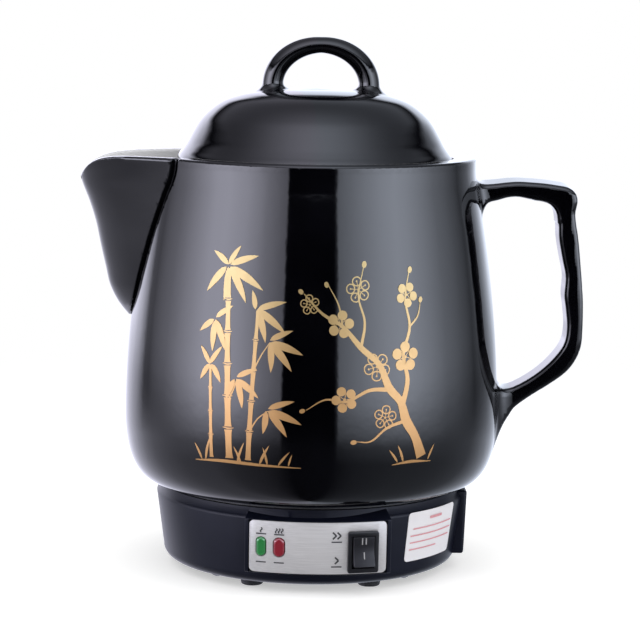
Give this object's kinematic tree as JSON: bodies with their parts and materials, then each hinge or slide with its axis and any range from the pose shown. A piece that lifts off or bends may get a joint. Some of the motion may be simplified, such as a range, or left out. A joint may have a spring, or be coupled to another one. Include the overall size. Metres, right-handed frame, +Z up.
{
  "type": "electric herbal medicine pot",
  "caption": "Glazed ceramic decocting jug with a pouring lip, side handle and lift-off domed lid, on a plastic heating base with a slow and fast rocker switch.",
  "frame": {"origin": "on the table, under the centre of the pot's bounding box", "axes": "+Z up; -X towards the spout's tip; +X towards the handle and power inlet; -Y out of the control panel"},
  "size_m": [0.2534, 0.1876, 0.2646],
  "materials": {
    "black_glaze": "high-gloss black glaze",
    "housing_plastic": "satin dark navy-black moulding",
    "black_plastic": "semi-gloss black",
    "silver_panel": "brushed, lacquered",
    "green_lens": "clear green moulding",
    "red_lens": "clear red moulding",
    "white_label": "blank printed film",
    "foot_rubber": "matt moulded rubber",
    "silicone": "matt silicone",
    "cast_aluminium": "as cast",
    "steel": "plain bright steel",
    "brass": "plain brass",
    "mica": "pressed mica board",
    "white_nylon": "natural nylon",
    "lamp_glass": "small neon lamp",
    "bakelite": "dark moulded phenolic",
    "wire_red": "insulated wire",
    "wire_blue": "insulated wire",
    "wire_yellow": "insulated wire",
    "wire_white": "insulated wire"
  },
  "bodies": {
    "root": {"ceramic_pot": "black_glaze", "base_gasket": "silicone", "base_housing": "housing_plastic", "bottom_cover": "housing_plastic", "rubber_foot_1": "foot_rubber", "rubber_foot_2": "foot_rubber", "rubber_foot_3": "foot_rubber", "rubber_foot_4": "foot_rubber", "cover_screw_1": "steel", "cover_screw_2": "steel", "cover_screw_3": "steel", "cover_screw_4": "steel", "control_panel": "silver_panel", "warm_lens": "green_lens", "heat_lens": "red_lens", "lamp_holder": "white_nylon", "warm_lamp": "lamp_glass", "heat_lamp": "lamp_glass", "side_label": "white_label", "rocker_housing": "black_plastic", "switch_terminal_1": "brass", "switch_terminal_2": "brass", "switch_terminal_3": "brass", "slow_diode": "bakelite", "inlet_socket": "black_plastic", "inlet_pin_live": "brass", "inlet_pin_neutral": "brass", "inlet_pin_earth": "brass", "heating_plate": "cast_aluminium", "heating_tube": "steel", "insulation_disc": "mica", "reflector_pan": "steel", "spring_bar": "steel", "bar_screw_front": "steel", "bar_screw_rear": "steel", "earth_lug": "brass", "thermostat": "bakelite", "thermal_fuse": "white_nylon", "terminal_block": "white_nylon", "wire_live": "wire_red", "wire_neutral": "wire_blue", "wire_earth": "wire_yellow", "wire_switch": "wire_red", "wire_fuse": "wire_white", "wire_thermostat": "wire_white", "wire_element": "wire_white", "wire_warm_lamp": "wire_blue", "wire_heat_lamp": "wire_red"},
    "lid": {"ceramic_lid": "black_glaze"},
    "rocker": {"rocker_key": "black_plastic"}
  },
  "joints": [
    {"name": "lid_lift", "type": "slide", "parent": "root", "child": "lid", "axis": [0, 0, 1], "range_m": [0, 0.12]},
    {"name": "rocker_tip", "type": "hinge", "parent": "root", "child": "rocker", "pos_m": [0.01458, -0.07484, 0.02218], "axis": [0.9882, 0.1515, 0.0207], "range_deg": [0, 24]}
  ]
}
